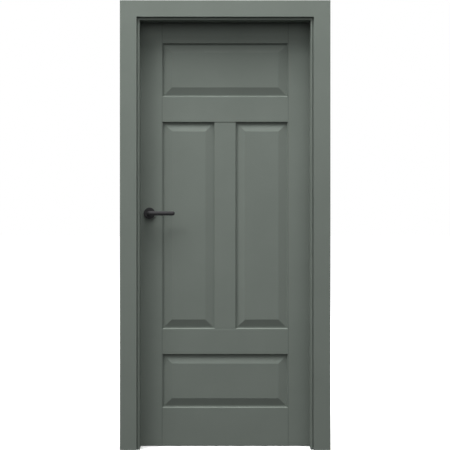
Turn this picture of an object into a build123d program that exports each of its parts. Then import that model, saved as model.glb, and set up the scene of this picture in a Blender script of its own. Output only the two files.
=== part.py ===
from build123d import *
import math
import os

# An interior door in its wall-wrapping frame, with raised panels and a lever latch.
# X runs across the doorway, Y through the wall and Z up from the floor. The door is pushed
# from the -Y side, swings towards +Y, hangs at +X and latches at -X. All sizes are millimetres.

# Doorway
CLEAR_WIDTH = 806.0
CLEAR_HEIGHT = 2022.0
WALL_THICKNESS = 90.0

# Jamb boards
JAMB_THICKNESS = 28.0
CHEEK_WIDTH = 7.0
SHADOW_WIDTH = 6.5
SHADOW_DEPTH = 3.0
ARRIS = 0.8

# Architraves: the front one slides in the jamb by a tongue, the rear one is glued on a spline
FRONT_ARCHITRAVE_WIDTH = 78.0
FRONT_ARCHITRAVE_THICKNESS = 10.0
TONGUE_THICKNESS = 6.0
TONGUE_LENGTH = 22.0
TONGUE_SPARE = 3.0
REAR_ARCHITRAVE_WIDTH = 80.0
REAR_ARCHITRAVE_THICKNESS = 12.0
SPLINE_THICKNESS = 4.0
SPLINE_DEPTH = 6.0
ARCHITRAVE_ROUND = 0.8

# The hollow in each architrave's back, which leaves a band at the outer edge to meet the wall
RELIEF_DEPTH = 1.5
RELIEF_MARGIN = 2.0
WALL_BAND = 15.0

# Fits in wood, and how far a cut reaches past the piece that it cuts
GLUE_GAP = 0.1
SLIDE_GAP = 0.3
HOLE_PLAY = 0.05
HOLE_END_PLAY = 0.5
CUT_SPARE = 1.0

# Leaf and the gaps round it
LEAF_THICKNESS = 40.0
LIP_THICKNESS = 13.0
LIP_REACH = 13.0
STOP_OVERLAP = 8.0
STOP_GAP = 2.5
SIDE_GAP = 3.0
LIP_GAP = 1.0
FLOOR_GAP = 3.0
LIP_EASE = 1.5

# Stiles, rails and their moulded inner edges
STILE_WIDTH = 110.0
TOP_RAIL = 105.0
CROSS_RAIL = 117.5
BOTTOM_RAIL = 179.0
END_PANEL = 258.5
MUNTIN_WIDTH = 96.0
MOULD_ROUND = 3.7
MOULD_LEAN = 0.9
MOULD_DEPTH = 9.7
MOULD_QUIRK = 0.5
JOINT_EASE = 0.7
SHOULDER_SLOPE = 6.0
SHOULDER_SINK = 1.5

# Raised panels
PANEL_LAND = 0.6
PANEL_PLAY = 0.3
GROOVE_REACH = 6.0
EDGE_PLAY = 0.7
MARGIN_WIDTH = 6.2
BEVEL_WIDTH = 35.5
FIELD_DEPTH = 2.5

# Dowels
DOWEL_DIAMETER = 10.0
DOWEL_HALF_LENGTH = 40.0
DOWEL_MARGIN = 28.0
DOWEL_SPACING = 60.0

# Gasket
GASKET_STEM = 2.4
GASKET_STEM_DEPTH = 5.0
GASKET_WIDTH = 6.4
GASKET_LIP = 0.8
GASKET_PLAY = 0.3

# Lever axis, latch case and forend
BACKSET = 50.0
LEVER_HEIGHT = 1112.0
LATCH_RISE = 24.0
CASE_LENGTH = 78.0
CASE_BELOW = 34.0
CASE_ABOVE = 56.0
CASE_THICKNESS = 14.0
SHEET = 1.2
MORTISE_PLAY = 0.3
FOREND_WIDTH = 18.0
FOREND_LENGTH = 170.0
FOREND_THICKNESS = 3.0
PLATE_PLAY = 0.1

# Latch bolt
BOLT_THROW = 11.0
BOLT_THICKNESS = 11.0
BOLT_HEIGHT = 26.0
BOLT_INNER_LENGTH = 22.0
BOLT_NOSE = 3.0
BOLT_SQUARE = 1.0
BOLT_PLAY = 0.3
TAIL_THICKNESS = 2.2
TAIL_HEIGHT = 12.0
LUG_LENGTH = 6.0
LUG_OFF_HUB = 1.0

# Follower, its arm and the spindle
LEVER_TURN = 38.0
SPINDLE_SIDE = 8.0
SPINDLE_PLAY = 0.05
SPINDLE_GRIP = 22.0
HUB_RADIUS = 9.0
TRUNNION_RADIUS = 7.5
RUNNING_PLAY = 0.05
ARM_TIP_RADIUS = 3.0
ARM_THICKNESS = 5.0
ARM_FREE_PLAY = 0.7

# Latch spring. Its wire has few sides, to keep it light
SPRING_RADIUS = 3.2
SPRING_WIRE = 0.9
SPRING_TURNS = 6
WIRE_SIDES = 6
SPRING_POST_THICKNESS = 3.0
SPRING_POST_HEIGHT = 12.0
SPRING_END_PLAY = 0.2

# Rosettes and the bolts that draw them together
ROSETTE_DIAMETER = 54.0
ROSETTE_HEIGHT = 9.0
ROSETTE_WALL = 1.5
ROSETTE_ROUND = 1.2
BASE_THICKNESS = 4.5
THROUGH_BOLT_SPACING = 38.0
THROUGH_BOLT_DIAMETER = 4.0
THROUGH_BOLT_HEAD = 7.5
THROUGH_BOLT_HEAD_HEIGHT = 2.4
THROUGH_BOLT_HOLE = 6.0

# Levers
LEVER_DIAMETER = 20.5
LEVER_PROJECTION = 45.0
LEVER_REACH = 122.5
LEVER_BEND = 13.0
LEVER_END_FLAT = 1.0
NECK_PLAY = 0.05
NECK_START = 0.6
GRUB_DIAMETER = 5.0
GRUB_SOCKET = 2.5
GRUB_SET_BACK = 5.0

# Strike plate
STRIKE_THICKNESS = 2.0
STRIKE_WIDTH = 22.0
STRIKE_LENGTH = 130.0
STRIKE_HOLE_PLAY = 1.2
STRIKE_POCKET_DEPTH = 10.5
STRIKE_SCREW_SHIFT = 6.0

# Hinges
HINGE_COUNT = 3
HINGE_FROM_ENDS = 240.0
BARREL_DIAMETER = 15.0
BARREL_HEIGHT = 38.0
BARREL_ROUND = 1.5
BARREL_OFF_LIP = 1.5
BARREL_OFF_FRAME = 0.5
WASHER_THICKNESS = 1.0
PIN_DIAMETER = 7.0
PIN_SEAT_PLAY = 0.02
PIN_END_PLAY = 0.5
PIN_SEAT = 25.0
PIN_RISE = 25.0
STUD_DIAMETER = 7.0
LEAF_STUD_LENGTH = 48.0
FRAME_STUD_LENGTH = 42.0
FRAME_STUD_SPACING = 20.0
BLOCK_WIDTH = 30.0
BLOCK_DEPTH = 40.0
BLOCK_HEIGHT = 120.0
BLOCK_HOUSING = 5.5

# Corner brackets
BRACKET_LEG = 60.0
BRACKET_WIDTH = 30.0
BRACKET_THICKNESS = 2.0
BRACKET_SHIFT = 5.0

# Wood screws
SCREW_DIAMETER = 4.0
SCREW_HEAD_DIAMETER = 7.6
SCREW_HEAD_HEIGHT = 2.0
SCREW_LENGTH = 16.0
SCREW_MARGIN = 10.0
SCREW_PLAY = 0.05

# Depths, measured from the middle plane of the wall
WALL_FRONT = -WALL_THICKNESS / 2
WALL_REAR = WALL_THICKNESS / 2
FRAME_FRONT = WALL_FRONT - FRONT_ARCHITRAVE_THICKNESS
FRAME_REAR = WALL_REAR + REAR_ARCHITRAVE_THICKNESS
LIP_FRONT = FRAME_REAR + LIP_GAP
LEAF_REAR = LIP_FRONT + LIP_THICKNESS
LEAF_FRONT = LEAF_REAR - LEAF_THICKNESS
LEAF_MIDDLE = (LEAF_FRONT + LEAF_REAR) / 2
STOP_FACE = LEAF_FRONT - STOP_GAP
LOCK_DEPTH = (LEAF_FRONT + LIP_FRONT) / 2
CASE_FRONT = LOCK_DEPTH - CASE_THICKNESS / 2
CASE_REAR = LOCK_DEPTH + CASE_THICKNESS / 2
TAIL_FRONT = LOCK_DEPTH + ARM_THICKNESS / 2 + BOLT_PLAY
SPRING_DEPTH = (CASE_FRONT + SHEET + TAIL_FRONT) / 2
GROOVE_HALF = LEAF_THICKNESS / 2 - MOULD_DEPTH - PANEL_LAND
MOULD_WIDTH = MOULD_ROUND + MOULD_LEAN
ROSETTE_FACE = LEAF_FRONT - ROSETTE_HEIGHT
GRIP_DEPTH = LEAF_FRONT - LEVER_PROJECTION
GRUB_DEPTH = ROSETTE_FACE - GRUB_SET_BACK
HINGE_DEPTH = FRAME_REAR + BARREL_OFF_FRAME + BARREL_DIAMETER / 2

# Heights
BODY_TOP = CLEAR_HEIGHT + STOP_OVERLAP
LIP_TOP = BODY_TOP + LIP_REACH
HEAD_BACK = CLEAR_HEIGHT + JAMB_THICKNESS
CASE_LOW = LEVER_HEIGHT - CASE_BELOW
CASE_HIGH = LEVER_HEIGHT + CASE_ABOVE
LATCH_HEIGHT = LEVER_HEIGHT + LATCH_RISE
FOREND_MIDDLE = (LEVER_HEIGHT + LATCH_HEIGHT) / 2
SPRING_HEIGHT = LATCH_HEIGHT + BOLT_HEIGHT / 2 - SPRING_RADIUS - SPRING_WIRE
PANEL_LEVELS = [
    FLOOR_GAP + BOTTOM_RAIL,
    FLOOR_GAP + BOTTOM_RAIL + END_PANEL,
    FLOOR_GAP + BOTTOM_RAIL + END_PANEL + CROSS_RAIL,
    BODY_TOP - TOP_RAIL - END_PANEL - CROSS_RAIL,
    BODY_TOP - TOP_RAIL - END_PANEL,
    BODY_TOP - TOP_RAIL,
]

# Distances out from the doorway's edge
REBATE = STOP_OVERLAP + SIDE_GAP
LEDGE = CHEEK_WIDTH + SHADOW_WIDTH
GASKET_MIDDLE = REBATE / 2
SPLINE_MIDDLE = (REBATE + JAMB_THICKNESS) / 2
FRONT_OUTER = LEDGE + FRONT_ARCHITRAVE_WIDTH
REAR_OUTER = REBATE + REAR_ARCHITRAVE_WIDTH

# Widths, measured from the middle of the doorway. The latch is at -X and the hinges are at +X
BODY_HALF = CLEAR_WIDTH / 2 + STOP_OVERLAP
LIP_HALF = BODY_HALF + LIP_REACH
PANEL_HALF = BODY_HALF - STILE_WIDTH
MUNTIN_HALF = MUNTIN_WIDTH / 2
JAMB_BACK = CLEAR_WIDTH / 2 + JAMB_THICKNESS
HINGE_X = LIP_HALF + BARREL_OFF_LIP + BARREL_DIAMETER / 2
STRIKE_FACE = -(CLEAR_WIDTH / 2 + REBATE)
FOREND_FACE = -BODY_HALF
AXIS_X = FOREND_FACE + BACKSET
CASE_START = FOREND_FACE + FOREND_THICKNESS
CASE_END = CASE_START + CASE_LENGTH
SPRING_POST_X = AXIS_X - SPRING_POST_THICKNESS / 2

# The arm's length gives the bolt its throw when the levers are fully down
ARM_RADIUS = BOLT_THROW / math.sin(math.radians(LEVER_TURN))
NECK_RADIUS = LEVER_DIAMETER / 2

# The origin lies under the middle of the whole set, from the front lever or face to the rear one
FRONT_MOST = min(FRAME_FRONT, GRIP_DEPTH - NECK_RADIUS)
REAR_MOST = max(LEAF_REAR + LEVER_PROJECTION + NECK_RADIUS, HINGE_DEPTH + BARREL_DIAMETER / 2)
DEPTH_SHIFT = -(FRONT_MOST + REAR_MOST) / 2

# Planes that pieces are mitred or mirrored on
MITRE = Plane((CLEAR_WIDTH / 2, 0, CLEAR_HEIGHT), x_dir=(0, 1, 0), z_dir=(-1, 0, 1))
OTHER_MITRE = Plane((-CLEAR_WIDTH / 2, 0, CLEAR_HEIGHT), x_dir=(0, 1, 0), z_dir=(1, 0, 1))
THROUGH_LEAF = Plane((0, LEAF_MIDDLE, 0), z_dir=(0, 1, 0))


def block(x, y, z):
    """A box from its low and high values along each axis."""
    middle = Pos(sum(x) / 2, sum(y) / 2, sum(z) / 2)
    return middle * Box(x[1] - x[0], y[1] - y[0], z[1] - z[0])


def strip(x, y):
    """A rectangle in a section, from its low and high values along each axis."""
    return Pos(sum(x) / 2, sum(y) / 2) * Rectangle(x[1] - x[0], y[1] - y[0])


def rod(radius, length, start, along):
    """A round bar from a start point in a given direction."""
    return extrude(Plane(start, z_dir=along) * Circle(radius), length)


def easing(start, end, size):
    """A square prism on a line. It takes the arris off an edge, or cuts a V along a joint."""
    along = Vector(end) - Vector(start)
    side = size * math.sqrt(2)
    section = Plane(start, z_dir=along.normalized()) * Rot(Z=45) * Rectangle(side, side)
    return extrude(section, along.length)


def corners(section, points):
    """The corners of a section that lie nearest to the given points."""
    return [section.vertices().sort_by_distance((*point, 0))[0] for point in points]


def mirrored(piece):
    """The same piece on the doorway's other side."""
    return mirror(piece, about=Plane.YZ)


def to_rear(piece):
    """The same piece on the leaf's other face."""
    return mirror(piece, about=THROUGH_LEAF)


def right_length(section):
    """The hinge side's length of a section drawn as (distance out from the doorway, depth)."""
    height = CLEAR_HEIGHT + section.bounding_box().max.X
    tall = extrude(Pos(CLEAR_WIDTH / 2, 0, 0) * section, height)
    return split(tall, bisect_by=MITRE, keep=Keep.BOTTOM)


def left_length(section):
    return mirrored(right_length(section))


def head_length(section):
    """The length over the doorway, mitred at both ends."""
    half = CLEAR_WIDTH / 2 + section.bounding_box().max.X
    start = Plane((half, 0, CLEAR_HEIGHT), x_dir=(0, 0, 1), z_dir=(-1, 0, 0))
    long = extrude(start * section, 2 * half)
    long = split(long, bisect_by=MITRE, keep=Keep.TOP)
    return split(long, bisect_by=OTHER_MITRE, keep=Keep.TOP)


def tongue(play=0.0, spare=0.0):
    """The front architrave's tongue in section. With play and spare it is the jamb's groove."""
    x = (LEDGE - play, LEDGE + TONGUE_THICKNESS + play)
    return strip(x, (WALL_FRONT, WALL_FRONT + TONGUE_LENGTH + spare))


def spline(play=0.0):
    """The rear architrave's spline in section. With play it is the jamb's groove."""
    half = SPLINE_THICKNESS / 2 + play
    x = (SPLINE_MIDDLE - half, SPLINE_MIDDLE + half)
    return strip(x, (WALL_REAR - SPLINE_DEPTH - play, WALL_REAR))


def gasket_stem(play=0.0):
    """The gasket's stem in section. With play it is the groove in the stop."""
    half = GASKET_STEM / 2 + play
    x = (GASKET_MIDDLE - half, GASKET_MIDDLE + half)
    return strip(x, (STOP_FACE - GASKET_STEM_DEPTH - play, STOP_FACE))


def jamb_section():
    """A board with a shadow step beside the architrave, a rebate for the leaf, and grooves."""
    board = strip((0, JAMB_THICKNESS), (WALL_FRONT, WALL_REAR))
    board -= strip((CHEEK_WIDTH, LEDGE), (WALL_FRONT, WALL_FRONT + SHADOW_DEPTH))
    board -= strip((0, REBATE), (STOP_FACE, WALL_REAR))
    board -= [tongue(SLIDE_GAP, TONGUE_SPARE), spline(GLUE_GAP), gasket_stem(GASKET_PLAY)]
    arrises = [(0, WALL_FRONT), (CHEEK_WIDTH, WALL_FRONT), (0, STOP_FACE)]
    return chamfer(corners(board, arrises), ARRIS)


def gasket_section():
    """A soft strip with a domed lip that almost meets the leaf."""
    left, right = GASKET_MIDDLE - GASKET_WIDTH / 2, GASKET_MIDDLE + GASKET_WIDTH / 2
    shoulder = STOP_FACE + GASKET_LIP
    top = STOP_FACE + STOP_GAP - GASKET_PLAY
    dome = ThreePointArc((left, shoulder), (GASKET_MIDDLE, top), (right, shoulder))
    dome += Line((right, shoulder), (left, shoulder))
    return gasket_stem() + strip((left, right), (STOP_FACE, shoulder)) + make_face(dome)


def front_architrave_section():
    """A flat face board with a hollow back, and the tongue behind its inner edge."""
    hollow = (JAMB_THICKNESS + RELIEF_MARGIN, FRONT_OUTER - WALL_BAND)
    board = strip((LEDGE, FRONT_OUTER), (FRAME_FRONT, WALL_FRONT)) + tongue()
    board -= strip(hollow, (WALL_FRONT - RELIEF_DEPTH, WALL_FRONT))
    face = [(LEDGE, FRAME_FRONT), (FRONT_OUTER, FRAME_FRONT)]
    return fillet(corners(board, face), ARCHITRAVE_ROUND)


def rear_architrave_section():
    """A flat face board with its spline. It stays full behind the jamb and the hinge blocks."""
    hollow = (JAMB_THICKNESS + BLOCK_WIDTH + RELIEF_MARGIN, REAR_OUTER - WALL_BAND)
    board = strip((REBATE, REAR_OUTER), (WALL_REAR, FRAME_REAR)) + spline()
    board -= strip(hollow, (WALL_REAR, WALL_REAR + RELIEF_DEPTH))
    face = [(REBATE, FRAME_REAR), (REAR_OUTER, FRAME_REAR)]
    return fillet(corners(board, face), ARCHITRAVE_ROUND)


def screw(face, along):
    """A wood screw whose head is flush with the point face, driven along a direction."""
    head = rod(SCREW_HEAD_DIAMETER / 2, SCREW_HEAD_HEIGHT, face, along)
    return head + rod(SCREW_DIAMETER / 2, SCREW_LENGTH, face, along)


def screw_hole(face, along):
    head = rod(SCREW_HEAD_DIAMETER / 2 + SCREW_PLAY, SCREW_HEAD_HEIGHT, face, along)
    return head + rod(SCREW_DIAMETER / 2 + SCREW_PLAY, SCREW_LENGTH + HOLE_END_PLAY, face, along)


def let_in_plate(face_x, way, middle, length, width, thickness):
    """A plate with round ends. Its show face stands at face_x, and it goes in along X."""
    face = Plane((face_x, LOCK_DEPTH, middle), x_dir=(0, 0, 1), z_dir=(way, 0, 0))
    return extrude(face * SlotOverall(length, width), thickness)


def strike_blank(play=0.0):
    length, width = STRIKE_LENGTH + 2 * play, STRIKE_WIDTH + 2 * play
    return let_in_plate(STRIKE_FACE, -1, LATCH_HEIGHT, length, width, STRIKE_THICKNESS)


def strike_hole(deep):
    """The mouth that takes the bolt, from the plate's face to a given depth."""
    half_y = BOLT_THICKNESS / 2 + STRIKE_HOLE_PLAY
    half_z = BOLT_HEIGHT / 2 + STRIKE_HOLE_PLAY
    return block(
        (STRIKE_FACE - deep, STRIKE_FACE),
        (LOCK_DEPTH - half_y, LOCK_DEPTH + half_y),
        (LATCH_HEIGHT - half_z, LATCH_HEIGHT + half_z),
    )


def at_strike_screws(shape):
    """A screw or a hole at both places, off the middle so that it bites in the jamb."""
    reach = STRIKE_LENGTH / 2 - SCREW_MARGIN
    depth = LOCK_DEPTH - STRIKE_SCREW_SHIFT
    return [shape((STRIKE_FACE, depth, LATCH_HEIGHT + way * reach), (-1, 0, 0)) for way in (-1, 1)]


def strike_plate():
    return strike_blank() - strike_hole(STRIKE_THICKNESS) - at_strike_screws(screw_hole)


def strike_cuts():
    """What the frame loses for the strike plate, its screws and the bolt's tip."""
    housing = [strike_blank(PLATE_PLAY), strike_hole(STRIKE_POCKET_DEPTH)]
    return housing + at_strike_screws(screw_hole)


def hinge_heights():
    """The height of the joint between the two barrels of each hinge."""
    low = FLOOR_GAP + HINGE_FROM_ENDS
    step = (LIP_TOP - HINGE_FROM_ENDS - low) / (HINGE_COUNT - 1)
    return [low + i * step for i in range(HINGE_COUNT)]


def frame_studs(height, play=0.0, spare=0.0):
    """The two studs that go through the rear architrave into the block behind it."""
    middle = height - BARREL_HEIGHT / 2
    radius, length = STUD_DIAMETER / 2 + play, FRAME_STUD_LENGTH + spare
    return [
        rod(radius, length, (HINGE_X, HINGE_DEPTH, middle + way), (0, -1, 0))
        for way in (-FRAME_STUD_SPACING / 2, FRAME_STUD_SPACING / 2)
    ]


def leaf_stud(height, play=0.0, spare=0.0):
    """The stud that goes sideways into the leaf's edge, through its lip."""
    middle = height + WASHER_THICKNESS + BARREL_HEIGHT / 2
    radius, length = STUD_DIAMETER / 2 + play, LEAF_STUD_LENGTH + spare
    return rod(radius, length, (HINGE_X, HINGE_DEPTH, middle), (-1, 0, 0))


def barrel(bottom, round_top):
    """A knuckle, with its outer end rounded."""
    solid = rod(BARREL_DIAMETER / 2, BARREL_HEIGHT, (HINGE_X, HINGE_DEPTH, bottom), (0, 0, 1))
    end = solid.edges().filter_by(GeomType.CIRCLE).sort_by(Axis.Z)[-1 if round_top else 0]
    return fillet(end, BARREL_ROUND)


def hinge_frame_half(height):
    """The lower knuckle, which holds the pin."""
    half = barrel(height - BARREL_HEIGHT, False) + frame_studs(height)
    seat = (HINGE_X, HINGE_DEPTH, height)
    return half - rod(PIN_DIAMETER / 2 + PIN_SEAT_PLAY, PIN_SEAT, seat, (0, 0, -1))


def hinge_leaf_half(height):
    """The upper knuckle, which turns on the pin."""
    bottom = height + WASHER_THICKNESS
    half = barrel(bottom, True) + leaf_stud(height)
    bore = PIN_RISE - WASHER_THICKNESS + PIN_END_PLAY
    seat = (HINGE_X, HINGE_DEPTH, bottom)
    return half - rod(PIN_DIAMETER / 2 + RUNNING_PLAY, bore, seat, (0, 0, 1))


def hinge_pin(height):
    foot = (HINGE_X, HINGE_DEPTH, height - PIN_SEAT)
    return rod(PIN_DIAMETER / 2, PIN_SEAT + PIN_RISE, foot, (0, 0, 1))


def hinge_washer(height):
    foot = (HINGE_X, HINGE_DEPTH, height)
    ring = rod(BARREL_DIAMETER / 2, WASHER_THICKNESS, foot, (0, 0, 1))
    return ring - rod(PIN_DIAMETER / 2 + RUNNING_PLAY, WASHER_THICKNESS, foot, (0, 0, 1))


def hinge_block_blank(height):
    """A reinforcing block behind the rear architrave, let into the jamb's back."""
    middle = height - BARREL_HEIGHT / 2
    return block(
        (JAMB_BACK - BLOCK_HOUSING, JAMB_BACK + BLOCK_WIDTH),
        (WALL_REAR - BLOCK_DEPTH, WALL_REAR),
        (middle - BLOCK_HEIGHT / 2, middle + BLOCK_HEIGHT / 2),
    )


def hinge_block(height):
    return hinge_block_blank(height) - frame_studs(height, HOLE_PLAY, HOLE_END_PLAY)


def bracket_blank(play=0.0):
    """An angle plate over the hinge side's mitre, let in flush with the jambs' backs."""
    half = BRACKET_WIDTH / 2 + play
    depth = (BRACKET_SHIFT - half, BRACKET_SHIFT + half)
    leg = BRACKET_LEG + play
    down = block((JAMB_BACK - BRACKET_THICKNESS, JAMB_BACK), depth, (HEAD_BACK - leg, HEAD_BACK))
    along = block((JAMB_BACK - leg, JAMB_BACK), depth, (HEAD_BACK - BRACKET_THICKNESS, HEAD_BACK))
    return down + along


def at_bracket_screws(shape):
    """A screw or a hole at the four places of the hinge side's bracket."""
    places = [BRACKET_LEG - SCREW_MARGIN, BRACKET_LEG / 2]
    side = [shape((JAMB_BACK, BRACKET_SHIFT, HEAD_BACK - place), (-1, 0, 0)) for place in places]
    head = [shape((JAMB_BACK - place, BRACKET_SHIFT, HEAD_BACK), (0, 0, -1)) for place in places]
    return side + head


def bracket():
    return bracket_blank() - at_bracket_screws(screw_hole)


def bracket_cuts():
    return [bracket_blank(PLATE_PLAY)] + at_bracket_screws(screw_hole)


def lock_jamb():
    board = left_length(jamb_section()) - strike_cuts()
    return board - [mirrored(cut) for cut in bracket_cuts()]


def hinge_jamb():
    board = right_length(jamb_section()) - bracket_cuts()
    return board - [hinge_block_blank(height) for height in hinge_heights()]


def head_jamb():
    cuts = bracket_cuts()
    return head_length(jamb_section()) - cuts - [mirrored(cut) for cut in cuts]


def rear_architrave_hinge_side():
    piece = right_length(rear_architrave_section())
    for height in hinge_heights():
        piece -= frame_studs(height, HOLE_PLAY, HOLE_END_PLAY)
    return piece


def gasket():
    section = gasket_section()
    return left_length(section) + head_length(section) + right_length(section)


def openings():
    """Each panel's opening in the leaf, as its low and high X and its low and high Z."""
    z = PANEL_LEVELS
    return {
        "bottom": (-PANEL_HALF, PANEL_HALF, z[0], z[1]),
        "left": (-PANEL_HALF, -MUNTIN_HALF, z[2], z[3]),
        "right": (MUNTIN_HALF, PANEL_HALF, z[2], z[3]),
        "top": (-PANEL_HALF, PANEL_HALF, z[4], z[5]),
    }


def mould_side(face, way):
    """The moulding on one face of the leaf: a small quirk, a round brow and a steep wall."""
    brow = MOULD_QUIRK + MOULD_ROUND
    middle = MOULD_ROUND / math.sqrt(2)
    points = [
        (0, face + way * MOULD_QUIRK),
        (middle, face + way * (brow - middle)),
        (MOULD_ROUND, face + way * brow),
    ]
    foot = (MOULD_WIDTH, face + way * MOULD_DEPTH)
    return ThreePointArc(*points), Line(points[-1], foot)


def mould_section():
    """The edge moulding, as (distance in from the opening's edge, depth)."""
    front_brow, front_wall = mould_side(LEAF_FRONT, 1)
    rear_brow, rear_wall = mould_side(LEAF_REAR, -1)
    ends = Line(front_wall @ 1, rear_wall @ 1) + Line(front_brow @ 0, rear_brow @ 0)
    return make_face(front_brow + front_wall + rear_brow + rear_wall + ends)


def mould(length):
    """A run of the moulding up from the origin, growing towards +X, mitred at both ends."""
    run = extrude(mould_section(), length)
    low = Plane((0, 0, 0), x_dir=(0, 1, 0), z_dir=(-1, 0, 1))
    high = Plane((0, 0, length), x_dir=(0, 1, 0), z_dir=(1, 0, 1))
    run = split(run, bisect_by=low, keep=Keep.TOP)
    return split(run, bisect_by=high, keep=Keep.BOTTOM)


def mould_on(name, side):
    """The moulding along one side of a panel's opening."""
    x0, x1, z0, z1 = openings()[name]
    if side == "left":
        return Pos(x0, 0, z0) * mould(z1 - z0)
    if side == "right":
        return Pos(x1, 0, z1) * Rot(Y=180) * mould(z1 - z0)
    if side == "bottom":
        return Pos(x1, 0, z0) * Rot(Y=-90) * mould(x1 - x0)
    return Pos(x0, 0, z1) * Rot(Y=90) * mould(x1 - x0)


def panel_groove(name):
    """The groove that holds a panel's edge, all round its opening."""
    x0, x1, z0, z1 = openings()[name]
    return block(
        (x0 - GROOVE_REACH, x1 + GROOVE_REACH),
        (LEAF_MIDDLE - GROOVE_HALF, LEAF_MIDDLE + GROOVE_HALF),
        (z0 - GROOVE_REACH, z1 + GROOVE_REACH),
    )


def rail_spans():
    """Each rail's low and high Z."""
    z = PANEL_LEVELS
    return {
        "bottom_rail": (FLOOR_GAP, z[0]),
        "lower_cross_rail": (z[1], z[2]),
        "upper_cross_rail": (z[3], z[4]),
        "top_rail": (z[5], LIP_TOP),
    }


def joint_lines():
    """The fine V cut where each rail meets a stile."""
    return [
        easing((x, face, low), (x, face, high), JOINT_EASE)
        for face in (LEAF_FRONT, LEAF_REAR)
        for low, high in rail_spans().values()
        for x in (-PANEL_HALF, PANEL_HALF)
    ]


def shoulder_cuts():
    """The sloping cut right across both ends of the muntin, on both faces. It falls away
    from the rail as the moulding beside it does, and stops at a low square shoulder."""
    reach = MUNTIN_HALF + MOULD_WIDTH + CUT_SPARE
    start = Plane((-reach, 0, 0), x_dir=(0, 1, 0), z_dir=(1, 0, 0))
    cuts = []
    for face, way in ((LEAF_FRONT, 1), (LEAF_REAR, -1)):
        for z, up in ((PANEL_LEVELS[2], 1), (PANEL_LEVELS[3], -1)):
            outside = face - way * CUT_SPARE
            far = z + up * SHOULDER_SLOPE
            slope = [(face, z), (outside, z), (outside, far), (face + way * SHOULDER_SINK, far)]
            cuts.append(extrude(start * make_face(Polyline(*slope, close=True)), 2 * reach))
    return cuts


def rail_dowel_heights():
    """Evenly spaced heights across each rail, at about the wanted spacing."""
    heights = []
    for low, high in rail_spans().values():
        room = min(high, BODY_TOP) - low - 2 * DOWEL_MARGIN
        gaps = max(1, round(room / DOWEL_SPACING))
        heights += [low + DOWEL_MARGIN + i * room / gaps for i in range(gaps + 1)]
    return heights


def dowels(play=0.0, spare=0.0):
    """The dowels between rails and stiles, and between muntin and rails, or their holes."""
    radius, half = DOWEL_DIAMETER / 2 + play, DOWEL_HALF_LENGTH + spare
    spread = MUNTIN_HALF - DOWEL_MARGIN
    across = [
        rod(radius, 2 * half, (x - half, LEAF_MIDDLE, z), (1, 0, 0))
        for z in rail_dowel_heights()
        for x in (-PANEL_HALF, PANEL_HALF)
    ]
    upright = [
        rod(radius, 2 * half, (x, LEAF_MIDDLE, z - half), (0, 0, 1))
        for z in (PANEL_LEVELS[2], PANEL_LEVELS[3])
        for x in (-spread, spread)
    ]
    return across + upright


def edge_cuts():
    """The rebate that leaves the leaf's lip, and the cuts that ease the lip's arrises."""
    far, top = LIP_HALF + CUT_SPARE, LIP_TOP + CUT_SPARE
    body = (LEAF_FRONT, LIP_FRONT)
    cuts = [block((-far, far), body, (BODY_TOP, top))]
    cuts.append(easing((-far, LEAF_REAR, LIP_TOP), (far, LEAF_REAR, LIP_TOP), LIP_EASE))
    for way in (-1, 1):
        edge = way * LIP_HALF
        cuts.append(block(sorted((way * BODY_HALF, way * far)), body, (0, top)))
        cuts.append(easing((edge, LEAF_REAR, 0), (edge, LEAF_REAR, top), LIP_EASE))
    return cuts


def meet(one, other):
    """Whether two pieces' boxes meet, so that a cut is worth making."""
    a, b = one.bounding_box(), other.bounding_box()
    return (
        a.min.X < b.max.X and b.min.X < a.max.X
        and a.min.Y < b.max.Y and b.min.Y < a.max.Y
        and a.min.Z < b.max.Z and b.min.Z < a.max.Z
    )


def member(x, z, mouldings):
    """One stile, rail or muntin: a board with its mouldings, less the leaf's rebate, the
    panels' grooves, the dowels' holes and the fine cuts at the joints."""
    piece = block(x, (LEAF_FRONT, LEAF_REAR), z)
    piece += [mould_on(name, side) for name, side in mouldings]
    cuts = edge_cuts() + joint_lines() + dowels(HOLE_PLAY, HOLE_END_PLAY)
    cuts += [panel_groove(name) for name, side in mouldings]
    return piece - [cut for cut in cuts if meet(piece, cut)]


def stile(way):
    """The lock stile for -1, the hinge stile for 1, before its ironmongery is let in."""
    side = "left" if way < 0 else "right"
    x = sorted((way * PANEL_HALF, way * LIP_HALF))
    return member(x, (FLOOR_GAP, LIP_TOP), [(name, side) for name in ("bottom", side, "top")])


def rail(name):
    mouldings = {
        "bottom_rail": [("bottom", "bottom")],
        "lower_cross_rail": [("bottom", "top"), ("left", "bottom"), ("right", "bottom")],
        "upper_cross_rail": [("left", "top"), ("right", "top"), ("top", "bottom")],
        "top_rail": [("top", "top")],
    }
    return member((-PANEL_HALF, PANEL_HALF), rail_spans()[name], mouldings[name])


def muntin():
    """The upright between the two tall panels."""
    x = (-MUNTIN_HALF, MUNTIN_HALF)
    z = (PANEL_LEVELS[2], PANEL_LEVELS[3])
    return member(x, z, [("left", "right"), ("right", "left")]) - shoulder_cuts()


def panel(name):
    """A panel that floats in its groove, with a bevelled and raised field on both faces."""
    x0, x1, z0, z1 = openings()[name]
    reach = GROOVE_REACH - EDGE_PLAY
    half = GROOVE_HALF - PANEL_PLAY
    low = MOULD_WIDTH + MARGIN_WIDTH
    high = low + BEVEL_WIDTH
    width, height = x1 - x0, z1 - z0
    solid = Box(width + 2 * reach, 2 * half, height + 2 * reach)
    rise = LEAF_THICKNESS / 2 - FIELD_DEPTH - half
    for way in (-1, 1):
        foot = Plane((0, way * half, 0), x_dir=(1, 0, 0), z_dir=(0, way, 0))
        solid += loft([
            foot * Rectangle(width - 2 * low, height - 2 * low),
            foot.offset(rise) * Rectangle(width - 2 * high, height - 2 * high),
        ])
    return Pos((x0 + x1) / 2, LEAF_MIDDLE, (z0 + z1) / 2) * solid


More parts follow.
